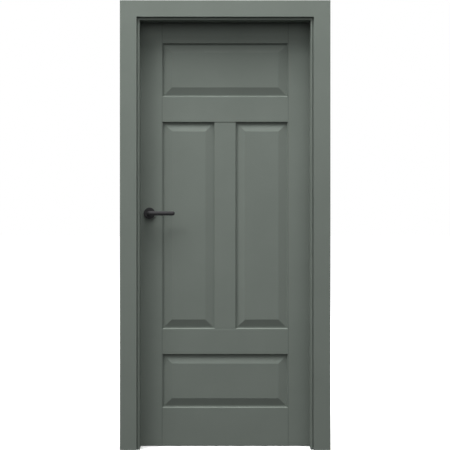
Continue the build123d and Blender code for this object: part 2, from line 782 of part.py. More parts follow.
def axis_rod(radius, y):
    """A round bar on the levers' axis between two depths."""
    return rod(radius, y[1] - y[0], (AXIS_X, y[0], LEVER_HEIGHT), (0, 1, 0))


def axis_bar(side, y):
    """A square bar on the levers' axis between two depths."""
    start = Plane((AXIS_X, y[0], LEVER_HEIGHT), x_dir=(1, 0, 0), z_dir=(0, 1, 0))
    return extrude(start * Rectangle(side, side), y[1] - y[0])


def beside_axis_rods(radius, y):
    """The pair of round bars beside the levers' axis, where the through bolts run."""
    return [
        rod(radius, y[1] - y[0], (AXIS_X + way, y[0], LEVER_HEIGHT), (0, 1, 0))
        for way in (-THROUGH_BOLT_SPACING / 2, THROUGH_BOLT_SPACING / 2)
    ]


def case_block(play=0.0):
    """The latch case's outside. With play it is the mortise."""
    return block(
        (CASE_START, CASE_END + play),
        (CASE_FRONT - play, CASE_REAR + play),
        (CASE_LOW - play, CASE_HIGH + play),
    )


def case_lid():
    return block((CASE_START, CASE_END), (CASE_REAR - SHEET, CASE_REAR), (CASE_LOW, CASE_HIGH))


def case_holes():
    """The follower's bearing and the through bolts' holes."""
    depth = (CASE_FRONT, CASE_REAR)
    bearing = axis_rod(TRUNNION_RADIUS + RUNNING_PLAY, depth)
    return [bearing] + beside_axis_rods(THROUGH_BOLT_HOLE / 2, depth)


def bolt_window(x):
    """The hole that the bolt's head slides through."""
    half_y = BOLT_THICKNESS / 2 + BOLT_PLAY
    half_z = BOLT_HEIGHT / 2 + BOLT_PLAY
    return block(
        x,
        (LOCK_DEPTH - half_y, LOCK_DEPTH + half_y),
        (LATCH_HEIGHT - half_z, LATCH_HEIGHT + half_z),
    )


def spring_post():
    """A tab folded in from the case's side, for the latch spring to push against."""
    low = SPRING_HEIGHT - SPRING_RADIUS - SPRING_WIRE
    return block(
        (SPRING_POST_X, SPRING_POST_X + SPRING_POST_THICKNESS),
        (CASE_FRONT, LOCK_DEPTH + ARM_THICKNESS / 2),
        (low, low + SPRING_POST_HEIGHT),
    )


def latch_case():
    """A folded tray: one side and four edges, with the spring's post."""
    inside = block(
        (CASE_START + SHEET, CASE_END - SHEET),
        (CASE_FRONT + SHEET, CASE_REAR),
        (CASE_LOW + SHEET, CASE_HIGH - SHEET),
    )
    tray = case_block() - inside - case_lid() + spring_post()
    return tray - case_holes() - bolt_window((CASE_START, CASE_START + SHEET))


def latch_case_cover():
    return case_lid() - case_holes()


def forend_blank(play=0.0):
    length, width = FOREND_LENGTH + 2 * play, FOREND_WIDTH + 2 * play
    return let_in_plate(FOREND_FACE, 1, FOREND_MIDDLE, length, width, FOREND_THICKNESS)


def at_forend_screws(shape):
    """A screw or a hole near both ends of the forend."""
    reach = FOREND_LENGTH / 2 - SCREW_MARGIN
    heights = (FOREND_MIDDLE - reach, FOREND_MIDDLE + reach)
    return [shape((FOREND_FACE, LOCK_DEPTH, height), (1, 0, 0)) for height in heights]


def forend():
    """The plate on the leaf's edge that the bolt comes out of."""
    window = bolt_window((FOREND_FACE, FOREND_FACE + FOREND_THICKNESS))
    return forend_blank() - window - at_forend_screws(screw_hole)


def latch_bolt():
    """A bevelled head, a flat tail beside the follower's arm, and a lug that the arm pushes."""
    half = BOLT_THICKNESS / 2
    tip = FOREND_FACE - BOLT_THROW
    rear = FOREND_FACE + BOLT_INNER_LENGTH
    plan = make_face(Polyline(
        (tip, LOCK_DEPTH + half),
        (tip, LOCK_DEPTH + half - BOLT_NOSE),
        (FOREND_FACE - BOLT_SQUARE, LOCK_DEPTH - half),
        (rear, LOCK_DEPTH - half),
        (rear, LOCK_DEPTH + half),
        close=True,
    ))
    head = extrude(Pos(0, 0, LATCH_HEIGHT - BOLT_HEIGHT / 2) * plan, BOLT_HEIGHT)
    lug_start = AXIS_X + ARM_TIP_RADIUS + ARM_FREE_PLAY
    lug_end = lug_start + LUG_LENGTH
    tail_rear = TAIL_FRONT + TAIL_THICKNESS
    tail_z = (LATCH_HEIGHT - TAIL_HEIGHT / 2, LATCH_HEIGHT + TAIL_HEIGHT / 2)
    lug_z = (LEVER_HEIGHT + HUB_RADIUS + LUG_OFF_HUB, LATCH_HEIGHT)
    tail = block((rear, lug_end), (TAIL_FRONT, tail_rear), tail_z)
    lug = block((lug_start, lug_end), (LOCK_DEPTH - ARM_THICKNESS / 2, tail_rear), lug_z)
    return head + tail + lug


def latch_spring():
    """A compression spring between the bolt's head and the post. It also brings the levers back."""
    start = FOREND_FACE + BOLT_INNER_LENGTH + SPRING_WIRE / 2 + SPRING_END_PLAY
    length = SPRING_POST_X - SPRING_WIRE / 2 - SPRING_END_PLAY - start
    coil = Helix(pitch=length / SPRING_TURNS, height=length, radius=SPRING_RADIUS)
    section = Plane(coil @ 0, z_dir=coil % 0) * RegularPolygon(SPRING_WIRE / 2, WIRE_SIDES)
    wire = sweep(section, path=coil, is_frenet=True)
    return Pos(start, SPRING_DEPTH, SPRING_HEIGHT) * Rot(Y=90) * wire


def follower():
    """The hub that the spindle turns, with two trunnions and an upright arm."""
    inside = (CASE_FRONT + SHEET + BOLT_PLAY, CASE_REAR - SHEET - BOLT_PLAY)
    hub = axis_rod(HUB_RADIUS, inside) + axis_rod(TRUNNION_RADIUS, (CASE_FRONT, CASE_REAR))
    tip_height = LEVER_HEIGHT + ARM_RADIUS
    near = LOCK_DEPTH - ARM_THICKNESS / 2
    arm = block(
        (AXIS_X - ARM_TIP_RADIUS, AXIS_X + ARM_TIP_RADIUS),
        (near, near + ARM_THICKNESS),
        (LEVER_HEIGHT, tip_height),
    )
    tip = rod(ARM_TIP_RADIUS, ARM_THICKNESS, (AXIS_X, near, tip_height), (0, 1, 0))
    return hub + arm + tip - axis_bar(SPINDLE_SIDE + 2 * SPINDLE_PLAY, (CASE_FRONT, CASE_REAR))


def spindle():
    return axis_bar(SPINDLE_SIDE, (LEAF_FRONT - SPINDLE_GRIP, LEAF_REAR + SPINDLE_GRIP))


def rosette():
    """A turned cup with a rounded edge, over its base."""
    cup = axis_rod(ROSETTE_DIAMETER / 2, (ROSETTE_FACE, LEAF_FRONT))
    rim = cup.edges().filter_by(GeomType.CIRCLE).sort_by(Axis.Y)[0]
    cup = fillet(rim, ROSETTE_ROUND)
    cup -= axis_rod(ROSETTE_DIAMETER / 2 - ROSETTE_WALL, (ROSETTE_FACE + ROSETTE_WALL, LEAF_FRONT))
    return cup - axis_rod(NECK_RADIUS + BOLT_PLAY, (ROSETTE_FACE, LEAF_FRONT))


def rosette_base():
    """A disc on the leaf's face, with a raised bush round the lever's neck."""
    seat = (LEAF_FRONT - BASE_THICKNESS, LEAF_FRONT)
    bush = (ROSETTE_FACE + ROSETTE_WALL + BOLT_PLAY, LEAF_FRONT)
    disc = axis_rod(ROSETTE_DIAMETER / 2 - ROSETTE_WALL - BOLT_PLAY, seat)
    disc += axis_rod(NECK_RADIUS + ROSETTE_WALL, bush)
    disc -= beside_axis_rods(THROUGH_BOLT_DIAMETER / 2 + RUNNING_PLAY, seat)
    return disc - axis_rod(NECK_RADIUS + NECK_PLAY, bush)


def through_bolts():
    """Two bolts that draw the rosette bases together. Their heads are on the pull side."""
    tip = LEAF_FRONT - BASE_THICKNESS
    seat = LEAF_REAR + BASE_THICKNESS
    shanks = beside_axis_rods(THROUGH_BOLT_DIAMETER / 2, (tip, seat))
    heads = beside_axis_rods(THROUGH_BOLT_HEAD / 2, (seat, seat + THROUGH_BOLT_HEAD_HEIGHT))
    return [shank + head for shank, head in zip(shanks, heads)]


def grub_rod(radius):
    """A round bar up from the underside of the lever's neck to the spindle."""
    bottom = (AXIS_X, GRUB_DEPTH, LEVER_HEIGHT - NECK_RADIUS)
    return rod(radius, NECK_RADIUS - SPINDLE_SIDE / 2 - SPINDLE_PLAY, bottom, (0, 0, 1))


def grub_screw():
    """A headless screw flush under the neck, with a hexagonal socket."""
    mouth = Plane((AXIS_X, GRUB_DEPTH, LEVER_HEIGHT - NECK_RADIUS), z_dir=(0, 0, 1))
    socket = extrude(mouth * RegularPolygon(GRUB_SOCKET / 2, 6), GRUB_SOCKET)
    return grub_rod(GRUB_DIAMETER / 2) - socket


def lever():
    """A round bar bent once: a neck out of the rosette and a straight grip with a domed end."""
    neck_start = (AXIS_X, LEAF_FRONT - NECK_START, LEVER_HEIGHT)
    bend_start = (AXIS_X, GRIP_DEPTH + LEVER_BEND, LEVER_HEIGHT)
    bend_end = (AXIS_X + LEVER_BEND, GRIP_DEPTH, LEVER_HEIGHT)
    tip = (AXIS_X + LEVER_REACH, GRIP_DEPTH, LEVER_HEIGHT)
    neck = Line(neck_start, bend_start)
    path = neck + TangentArc(bend_start, bend_end, tangent=(0, -1, 0)) + Line(bend_end, tip)
    bar = sweep(Plane(neck @ 0, z_dir=neck % 0) * Circle(NECK_RADIUS), path=path)
    end = bar.edges().filter_by(GeomType.CIRCLE).sort_by(Axis.X)[-1]
    bar = fillet(end, NECK_RADIUS - LEVER_END_FLAT)
    socket = (LEAF_FRONT - SPINDLE_GRIP - HOLE_END_PLAY, LEAF_FRONT)
    bar -= axis_bar(SPINDLE_SIDE + 2 * SPINDLE_PLAY, socket)
    return bar - grub_rod(GRUB_DIAMETER / 2 + SPINDLE_PLAY)


def lock_stile():
    """The stile with the forend, the latch case and the levers' holes let in."""
    depth = (LEAF_FRONT, LEAF_REAR)
    piece = stile(-1) - forend_blank(PLATE_PLAY) - case_block(MORTISE_PLAY)
    piece -= at_forend_screws(screw_hole)
    piece -= axis_rod(NECK_RADIUS, depth)
    return piece - beside_axis_rods(THROUGH_BOLT_HOLE / 2, depth)


def hinge_stile():
    studs = [leaf_stud(height, HOLE_PLAY, HOLE_END_PLAY) for height in hinge_heights()]
    return stile(1) - studs


def pieces():
    """Every node's name with its solid or its list of solids."""
    heights = hinge_heights()
    front = front_architrave_section()
    rear = rear_architrave_section()
    bracket_screws = at_bracket_screws(screw)
    return {
        "lock_jamb": lock_jamb(),
        "hinge_jamb": hinge_jamb(),
        "head_jamb": head_jamb(),
        "front_architrave_lock_side": left_length(front),
        "front_architrave_hinge_side": right_length(front),
        "front_architrave_head": head_length(front),
        "rear_architrave_lock_side": left_length(rear) - strike_cuts(),
        "rear_architrave_hinge_side": rear_architrave_hinge_side(),
        "rear_architrave_head": head_length(rear),
        "gasket": gasket(),
        "corner_brackets": [bracket(), mirrored(bracket())],
        "bracket_screws": bracket_screws + [mirrored(one) for one in bracket_screws],
        "hinge_blocks": [hinge_block(height) for height in heights],
        "hinge_frame_halves": [hinge_frame_half(height) for height in heights],
        "hinge_pins": [hinge_pin(height) for height in heights],
        "hinge_washers": [hinge_washer(height) for height in heights],
        "strike_plate": strike_plate(),
        "strike_screws": at_strike_screws(screw),
        "lock_stile": lock_stile(),
        "hinge_stile": hinge_stile(),
        "top_rail": rail("top_rail"),
        "upper_cross_rail": rail("upper_cross_rail"),
        "lower_cross_rail": rail("lower_cross_rail"),
        "bottom_rail": rail("bottom_rail"),
        "muntin": muntin(),
        "top_panel": panel("top"),
        "left_panel": panel("left"),
        "right_panel": panel("right"),
        "bottom_panel": panel("bottom"),
        "dowels": dowels(),
        "hinge_leaf_halves": [hinge_leaf_half(height) for height in heights],
        "latch_case": latch_case(),
        "latch_case_cover": latch_case_cover(),
        "forend": forend(),
        "forend_screws": at_forend_screws(screw),
        "front_rosette": rosette(),
        "rear_rosette": to_rear(rosette()),
        "front_rosette_base": rosette_base(),
        "rear_rosette_base": to_rear(rosette_base()),
        "through_bolts": through_bolts(),
        "front_lever": lever(),
        "rear_lever": to_rear(lever()),
        "spindle": spindle(),
        "follower": follower(),
        "grub_screws": [grub_screw(), to_rear(grub_screw())],
        "latch_bolt": latch_bolt(),
        "latch_spring": latch_spring(),
    }


def write(name, solids):
    """Writes one node as parts/NAME.step, centred in depth on the origin."""
    solids = solids if isinstance(solids, list) else [solids]
    placed = [Pos(0, DEPTH_SHIFT, 0) * one for piece in solids for one in piece.solids()]
    for one in placed:
        one.label = name
    shape = placed[0] if len(placed) == 1 else Compound(label=name, children=placed)
    export_step(shape, f"parts/{name}.step")


os.makedirs("parts", exist_ok=True)
for node, solid in pieces().items():
    write(node, solid)
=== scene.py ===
# %% [markdown]
# # A panelled interior door in its frame
# This lesson dresses a finished CAD model of an interior door: a leaf with four raised panels,
# a frame that wraps round the wall, and a black lever set. The CAD model already has the right
# shapes and sizes, so most of the work here is paint, wood, metal, light and the camera. The
# first lines load the model as a fixed frame, and everything after them is placed by asking
# the frame where its pieces are.

# %% Load the door
import math

import bmesh
import bpy
from mathutils import Matrix, Vector


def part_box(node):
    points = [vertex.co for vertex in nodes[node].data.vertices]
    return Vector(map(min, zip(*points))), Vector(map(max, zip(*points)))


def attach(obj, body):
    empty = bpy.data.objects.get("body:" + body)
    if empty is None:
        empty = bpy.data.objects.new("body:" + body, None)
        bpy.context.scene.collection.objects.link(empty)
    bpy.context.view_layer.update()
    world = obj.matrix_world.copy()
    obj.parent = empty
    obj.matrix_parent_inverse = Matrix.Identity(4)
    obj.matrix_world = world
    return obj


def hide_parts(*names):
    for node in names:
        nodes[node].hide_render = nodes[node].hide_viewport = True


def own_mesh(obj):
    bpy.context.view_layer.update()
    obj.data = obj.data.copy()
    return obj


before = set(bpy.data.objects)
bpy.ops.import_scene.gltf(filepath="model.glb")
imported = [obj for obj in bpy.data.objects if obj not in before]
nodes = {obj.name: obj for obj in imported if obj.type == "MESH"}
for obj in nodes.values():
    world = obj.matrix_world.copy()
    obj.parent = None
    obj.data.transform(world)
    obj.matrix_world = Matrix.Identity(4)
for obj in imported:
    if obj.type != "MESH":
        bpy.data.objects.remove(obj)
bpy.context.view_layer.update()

# %% [markdown]
# ## The planes that the door is built on
# Later steps need a few places: the front of the architraves, the two faces of the wall that
# isn't here, the edge of the doorway, and the line where the rails meet the stiles. Typing
# them in would break as soon as the model changes, so they are read from the boxes of the CAD
# pieces.

# %% Read the main planes
front_low, front_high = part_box("front_architrave_lock_side")
jamb_low, jamb_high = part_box("lock_jamb")
FRONT_FACE = front_low.y
FRAME_TOP = front_high.z
WALL_FRONT = jamb_low.y
WALL_REAR = jamb_high.y
DOORWAY_HALF = -jamb_high.x
DOORWAY_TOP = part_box("head_jamb")[0].z
JOINT_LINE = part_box("top_rail")[1].x
print("doorway", round(2 * DOORWAY_HALF, 3), "wide and", round(DOORWAY_TOP, 3), "high")

# %% [markdown]
# ## The camera
# The photograph looks straight at the door from far back, with the lens level, so upright
# edges stay upright. A tilted camera would make them lean. Instead the camera stays level at
# a person's chest height, and the picture is shifted down a little, as an architect's
# camera does. The picture is 450 pixels square. The size of one pixel on the door's front
# gives the lens, and the row of the horizon gives the camera's height and the shift.

# %% Aim the camera
PICTURE_PIXELS = 450
FRAME_TOP_PIXEL = 0.14
HORIZON_PIXEL = 200.0
MIDDLE_PIXEL = 225.145
METRES_PER_PIXEL = 0.004695
CAMERA_DISTANCE = 5.1
SENSOR = 36.0

camera_data = bpy.data.cameras.new("camera")
camera_data.sensor_width = SENSOR
camera_data.lens = SENSOR * CAMERA_DISTANCE / (PICTURE_PIXELS * METRES_PER_PIXEL)
camera_data.shift_y = (HORIZON_PIXEL - PICTURE_PIXELS / 2) / PICTURE_PIXELS
camera_data.shift_x = (PICTURE_PIXELS / 2 - MIDDLE_PIXEL) / PICTURE_PIXELS
camera = bpy.data.objects.new("camera", camera_data)
bpy.context.scene.collection.objects.link(camera)
horizon = FRAME_TOP - (HORIZON_PIXEL - FRAME_TOP_PIXEL) * METRES_PER_PIXEL
camera.location = (0, FRONT_FACE - CAMERA_DISTANCE, horizon)
camera.rotation_euler = (math.radians(90), 0, 0)
bpy.context.scene.camera = camera
print("lens", round(camera_data.lens, 1), "mm at a height of", round(horizon, 3), "m")

# %% [markdown]
# ## A short way to write shader nodes
# Every finish below is a small tree of shader nodes. Written out in full, each node takes
# four or five lines, so a few helpers keep the recipes readable. The first adds a node and
# fills or links its inputs, and the others wrap the sums, stretches and blends that are used
# most. A Mix node has sockets for every kind of value, so its colour sockets go by number.

# %% Helpers for single nodes
MIX_FACTOR = 0
MIX_FIRST_COLOUR = 6
MIX_SECOND_COLOUR = 7
MIX_RESULT_COLOUR = 2


def add(tree, kind, values=None, **settings):
    """Adds a shader node. Values are put into its inputs, and sockets are linked to them."""
    made = tree.nodes.new("ShaderNode" + kind)
    for name, value in settings.items():
        setattr(made, name, value)
    for name, value in (values or {}).items():
        if isinstance(value, bpy.types.NodeSocket):
            tree.links.new(value, made.inputs[name])
        else:
            made.inputs[name].default_value = value
    return made


def math_node(tree, operation, first, second=0.0, third=0.0):
    """One sum on one, two or three numbers or sockets."""
    return add(tree, "Math", {0: first, 1: second, 2: third}, operation=operation).outputs[0]


def weaker(tree, mask, share):
    """A mask turned down to a share of its strength."""
    return math_node(tree, "MULTIPLY", mask, share)


def plus(tree, value, extra, share):
    """A value raised by a share of another one."""
    return math_node(tree, "MULTIPLY_ADD", extra, share, value)


def spread(tree, value, low=0.0, high=1.0, to_low=0.0, to_high=1.0):
    """Stretches the part of a value between low and high over a new range."""
    values = {"Value": value, "From Min": low, "From Max": high, "To Min": to_low, "To Max": to_high}
    return add(tree, "MapRange", values, interpolation_type="SMOOTHSTEP").outputs["Result"]


def blend_colours(tree, factor, first, second):
    """A colour that goes from the first to the second as the factor rises."""
    values = {MIX_FACTOR: factor, MIX_FIRST_COLOUR: first, MIX_SECOND_COLOUR: second}
    return add(tree, "Mix", values, data_type="RGBA").outputs[MIX_RESULT_COLOUR]


def sRGB(red, green, blue):
    """A colour picked from a picture, as the linear numbers that a shader wants. The curve is
    the sRGB standard's: a short straight start, and then a power."""
    def linear(value):
        share = value / 255
        return share / 12.92 if share <= 0.04045 else ((share + 0.055) / 1.055) ** 2.4
    return (linear(red), linear(green), linear(blue), 1.0)


def grey(value):
    """A linear grey, from 0 for black to 1 for white."""
    return (value, value, value, 1.0)


print("a picture's grey of 128 is", round(sRGB(128, 128, 128)[0], 3), "as linear light")

# %% [markdown]
# ## Reading the surface
# A pattern needs to know where on the piece it is. Object coordinates give that in metres,
# and they stay fixed to a piece when the door swings. The Geometry node gives the direction
# that the surface faces, which tells a top from a side. A noise texture turns a place into an
# uneven value about a half.

# %% Helpers that read the surface
def place_on_piece(tree):
    """Object coordinates, in metres."""
    return add(tree, "TexCoord").outputs["Object"]


def facing(tree):
    """The direction in which the surface faces."""
    return add(tree, "NewGeometry").outputs["Normal"]


def part_of(tree, vector, axis):
    """One of a vector's three numbers: X, Y or Z."""
    return add(tree, "SeparateXYZ", {0: vector}).outputs[axis]


def noise(tree, place, scale, detail, roughness=0.5, distortion=0.0):
    """An uneven value. A larger scale gives finer marks, and more detail sharper ones."""
    values = {
        "Vector": place, "Scale": scale, "Detail": detail, "Roughness": roughness,
        "Distortion": distortion}
    return add(tree, "TexNoise", values).outputs[0]


print("four helpers read the surface")

# %% [markdown]
# ## Node groups
# A group is worth having when more than one finish uses the same effect, such as wood fibres
# or dust. It is built once, with named inputs, and each finish places it with its own values.

# %% Helpers for node groups
def open_group(name, inputs, outputs):
    """A new node group with named sockets. Gives the group and its inner input and output."""
    group = bpy.data.node_groups.new(name, "ShaderNodeTree")
    for label, value in inputs.items():
        kind = "NodeSocketVector" if isinstance(value, tuple) else "NodeSocketFloat"
        group.interface.new_socket(label, in_out="INPUT", socket_type=kind).default_value = value
    for label in outputs:
        group.interface.new_socket(label, in_out="OUTPUT", socket_type="NodeSocketFloat")
    entry = group.nodes.new("NodeGroupInput")
    return group, entry.outputs, group.nodes.new("NodeGroupOutput").inputs


def use_group(tree, group, **values):
    """Places a group in a material, with its own values. Underscores stand for spaces."""
    named = {name.replace("_", " "): value for name, value in values.items()}
    return add(tree, "Group", named, node_tree=group).outputs


print("groups can be opened and used")

# %% [markdown]
# ## Wood fibres
# Wood has long thin fibres along the board and slower bands across it. One noise texture
# gives both when the place it is read at is squeezed: the coordinates are multiplied by a
# large number across the board and a small one along it. The stretch is an input, so the
# same group serves upright and level boards.

# %% Wood fibre group
fibre_group, given, out = open_group(
    "wood fibres", {"Stretch": (60.0, 60.0, 3.0), "Twist": 1.5}, ["Fibres", "Bands"])
stretch_by = {0: place_on_piece(fibre_group), 1: given["Stretch"]}
squeezed = add(fibre_group, "VectorMath", stretch_by, operation="MULTIPLY").outputs[0]
fine = noise(fibre_group, squeezed, scale=9.0, detail=5.0, roughness=0.62)
slow = noise(fibre_group, squeezed, scale=0.9, detail=2.0, distortion=given["Twist"])
fibre_group.links.new(fine, out["Fibres"])
fibre_group.links.new(spread(fibre_group, slow, low=0.38, high=0.62), out["Bands"])
print(fibre_group.name, "gives", [socket.name for socket in out if socket.name])

# %% [markdown]
# ## A sprayed coat
# Shop-sprayed paint isn't glass flat. It has the faint dimples called orange peel, a
# millimetre or two across, and its depth of colour drifts slowly over a board. Both are noise
# at different scales. The dimples go to a bump and the drift to the colour and gloss, and
# both are kept so weak that they only show where light grazes the surface.

# %% Sprayed coat group
coat_group, given, out = open_group("sprayed coat", {"Dimples": 700.0, "Drift": 4.0}, ["Height", "Cloud"])
place = place_on_piece(coat_group)
dimples = noise(coat_group, place, scale=given["Dimples"], detail=2.0, roughness=0.4)
cloud = noise(coat_group, place, scale=given["Drift"], detail=3.0, roughness=0.55)
coat_group.links.new(dimples, out["Height"])
coat_group.links.new(spread(coat_group, cloud, low=0.3, high=0.7), out["Cloud"])
print(coat_group.name, "ready")

# %% [markdown]
# ## Rubbed edges
# Hands, shoes and cleaning cloths reach edges first. The Bevel node gives the normal that a
# rounded edge would have, so where it differs from the true normal there is an edge nearby.
# Noise then breaks the mask up, because real wear is never an even outline.

# %% Rubbed edge group
edge_group, given, out = open_group("rubbed edges", {"Width": 0.0015, "Patch": 30.0}, ["Mask"])
rounded = add(edge_group, "Bevel", {"Radius": given["Width"]}, samples=8).outputs[0]
both_normals = {0: rounded, 1: facing(edge_group)}
agreement = add(edge_group, "VectorMath", both_normals, operation="DOT_PRODUCT").outputs["Value"]
near_edge = spread(edge_group, agreement, low=0.99, high=0.85)
patches = noise(edge_group, place_on_piece(edge_group), scale=given["Patch"], detail=3.0)
patches = spread(edge_group, patches, low=0.4, high=0.65)
worn = math_node(edge_group, "MULTIPLY", near_edge, patches)
edge_group.links.new(worn, out["Mask"])
print(edge_group.name, "ready")

# %% [markdown]
# ## Settled dust
# A little dust lies on whatever faces up: the top of the head, the upper edges of the
# mouldings, the back of the lever. The mask is the upward part of the surface's normal,
# broken up by fine noise.

# %% Settled dust group
dust_group, given, out = open_group("settled dust", {"Grain": 260.0}, ["Mask"])
upwards = spread(dust_group, part_of(dust_group, facing(dust_group), "Z"), low=0.55, high=0.98)
specks = noise(dust_group, place_on_piece(dust_group), scale=given["Grain"], detail=4.0)
specks = spread(dust_group, specks, low=0.42, high=0.66)
settled = math_node(dust_group, "MULTIPLY", upwards, specks)
dust_group.links.new(settled, out["Mask"])
print(dust_group.name, "ready")

# %% [markdown]
# ## Where the frame stays bare
# A painter coats what is seen. The backs of the jambs and architraves, their tongues and
# splines, and all that stands between the two faces of the wall stay bare wood. The frame
# never moves, so its object coordinates can tell bare from painted: bare is what lies
# between the wall's faces and further out than the stop, and the back of an architrave,
# which faces the wall and is hollowed a little.

# %% Bare wood group
EDGE_OF_PAINT = 0.022
BACK_HOLLOW = 0.0018
WALL_MARGIN = 0.0002
wall_middle = (WALL_FRONT + WALL_REAR) / 2
half_wall = (WALL_REAR - WALL_FRONT) / 2

bare_group, given, out = open_group("bare backs", {"Soft": 0.0004}, ["Mask"])
place = place_on_piece(bare_group)
from_side = math_node(bare_group, "ABSOLUTE", part_of(bare_group, place, "X"))
beside = math_node(bare_group, "SUBTRACT", from_side, DOORWAY_HALF)
above = math_node(bare_group, "SUBTRACT", part_of(bare_group, place, "Z"), DOORWAY_TOP)
outwards = math_node(bare_group, "MAXIMUM", beside, above)
far_out = math_node(bare_group, "GREATER_THAN", outwards, EDGE_OF_PAINT)

from_middle = math_node(bare_group, "SUBTRACT", part_of(bare_group, place, "Y"), wall_middle)
depth = math_node(bare_group, "ABSOLUTE", from_middle)
wall_face = half_wall - WALL_MARGIN
fully_inside = math_node(bare_group, "SUBTRACT", wall_face, given["Soft"])
inside = spread(bare_group, depth, wall_face, fully_inside)

side_of_wall = math_node(bare_group, "SIGN", from_middle)
turned_out = math_node(bare_group, "MULTIPLY", part_of(bare_group, facing(bare_group), "Y"), side_of_wall)
faces_wall = math_node(bare_group, "LESS_THAN", turned_out, -0.5)
near_wall = math_node(bare_group, "LESS_THAN", depth, half_wall + BACK_HOLLOW)
back = math_node(bare_group, "MULTIPLY", faces_wall, near_wall)
hidden = math_node(bare_group, "MAXIMUM", inside, back)
bare_group.links.new(math_node(bare_group, "MULTIPLY", far_out, hidden), out["Mask"])
print("paint stops", 1000 * EDGE_OF_PAINT, "mm out from the doorway")

# %% [markdown]
# ## Painted shade at the joints
# Where a rail meets a stile the maker cuts a fine V, because paint would crack over a plain
# joint. The shade at the bottom of the V is painted into the colour as a thin dark line. The
# two lines stand upright at the same distance from the door's middle, so the distance to them
# is all that the mask needs. It runs on along the mouldings, where the same painted shade
# darkens the quirk beside the stile.

# %% Painted joint shade group
joint_shade_group, given, out = open_group("painted shade at joints", {"Half Width": 0.0008}, ["Mask"])
from_centre = math_node(joint_shade_group, "ABSOLUTE", part_of(joint_shade_group, place_on_piece(joint_shade_group), "X"))
from_line = math_node(joint_shade_group, "SUBTRACT", from_centre, JOINT_LINE)
from_line = math_node(joint_shade_group, "ABSOLUTE", from_line)
fully_dark = weaker(joint_shade_group, given["Half Width"], share=0.5)
joint_shade_group.links.new(spread(joint_shade_group, from_line, given["Half Width"], fully_dark), out["Mask"])
print("joint lines", round(JOINT_LINE, 4), "m from the middle")

# %% [markdown]
# ## An empty finish
# Each material starts with one Principled shader. What varies over the surface is fed into
# its colour, roughness and normal, and every finish here ends that way, so one helper makes
# the bump and the three links. What is the same all over is set on the shader itself.

# %% Start and end a finish
def new_finish(name):
    """An empty material. Gives it with its node tree and its Principled shader."""
    material = bpy.data.materials.new(name)
    material.use_nodes = True
    return material, material.node_tree, material.node_tree.nodes["Principled BSDF"]


def end_finish(tree, shader, colour, roughness, height, bump_strength, bump_depth):
    """Feeds a finish's colour, roughness and bump into its shader."""
    values = {"Height": height, "Strength": bump_strength, "Distance": bump_depth}
    bump = add(tree, "Bump", values).outputs[0]
    tree.links.new(colour, shader.inputs["Base Color"])
    tree.links.new(roughness, shader.inputs["Roughness"])
    tree.links.new(bump, shader.inputs["Normal"])


print("finishes can be started and ended")

# %% [markdown]
# ## The paint
# The door is painted a soft grey green that is nearly matte. The photograph shows no shine
# even on the reveals, which the camera sees at a low angle, so the specular level is close
# to nothing. The paint is one recipe for every board: the sprayed coat's bump, a trace of
# the wood's fibres showing through, edges rubbed a touch lighter and dust on what faces up.
# Boards run two ways, so there is an upright and a level version. The frame's boards also get
# the bare backs, and the leaf's boards painted shade in the lines at the joints.

# %% Choose the colours of paint and wood
PAINT = sRGB(111, 118, 112)
PAINT_DEEP = sRGB(108, 115, 109)
PAINT_RUBBED = sRGB(122, 128, 122)
# PAINT_SHADED is a painted shade for the V at each joint and the quirk beside the stile
PAINT_SHADED = sRGB(58, 62, 58)
DUST = sRGB(150, 150, 145)
BARE_PALE = sRGB(214, 192, 158)
BARE_DARK = sRGB(188, 158, 120)
UPRIGHT = (60.0, 60.0, 3.0)
LEVEL = (3.0, 60.0, 60.0)
PAINT_SPECULAR = 0.01
PAINT_SMOOTHEST = 0.62
PAINT_ROUGHEST = 0.70
print("the paint is", [round(value, 3) for value in PAINT[:3]], "as linear light")

# %% Mix the paint
def painted(name, stretch, on_frame):
    """Paint over a board whose fibres run the given way. Only the frame has bare backs, and
    only the leaf has painted shade at its joints."""
    material, tree, shader = new_finish(name)
    shader.inputs["Specular IOR Level"].default_value = PAINT_SPECULAR
    fibres = use_group(tree, fibre_group, Stretch=stretch)
    coat = use_group(tree, coat_group)
    rubbed = weaker(tree, use_group(tree, edge_group)["Mask"], share=0.2)
    dust = weaker(tree, use_group(tree, dust_group)["Mask"], share=0.15)
    colour = blend_colours(tree, coat["Cloud"], PAINT_DEEP, PAINT)
    colour = blend_colours(tree, rubbed, colour, PAINT_RUBBED)
    colour = blend_colours(tree, dust, colour, DUST)
    roughness = spread(tree, coat["Cloud"], to_low=PAINT_SMOOTHEST, to_high=PAINT_ROUGHEST)
    roughness = plus(tree, roughness, dust, share=0.5)
    height = plus(tree, coat["Height"], fibres["Fibres"], share=0.5)
    if on_frame:
        bare = use_group(tree, bare_group)["Mask"]
        wood = blend_colours(tree, fibres["Bands"], BARE_PALE, BARE_DARK)
        wood = blend_colours(tree, weaker(tree, fibres["Fibres"], share=0.5), wood, BARE_DARK)
        colour = blend_colours(tree, bare, colour, wood)
        roughness = plus(tree, roughness, bare, share=0.3)
        bare_fibres = math_node(tree, "MULTIPLY", bare, fibres["Fibres"])
        height = plus(tree, height, bare_fibres, share=2.0)
    else:
        # painted shade: darkens the V at each joint and the quirk beside the stile
        line = weaker(tree, use_group(tree, joint_shade_group)["Mask"], share=0.75)
        colour = blend_colours(tree, line, colour, PAINT_SHADED)
    end_finish(tree, shader, colour, roughness, height, bump_strength=0.12, bump_depth=0.0004)
    return material


leaf_upright = painted("leaf paint upright", UPRIGHT, on_frame=False)
leaf_level = painted("leaf paint level", LEVEL, on_frame=False)
frame_upright = painted("frame paint upright", UPRIGHT, on_frame=True)
frame_level = painted("frame paint level", LEVEL, on_frame=True)
print("four paints share", len(bpy.data.node_groups), "groups")

# %% [markdown]
# ## Black lever metal
# The levers, rosettes, forend and strike plate are powder coated: matte black, with a very
# fine even texture from the powder that melted onto the metal. A small fine noise gives the
# texture, and rubbed edges are a little lighter and smoother, as they are on a used handle.

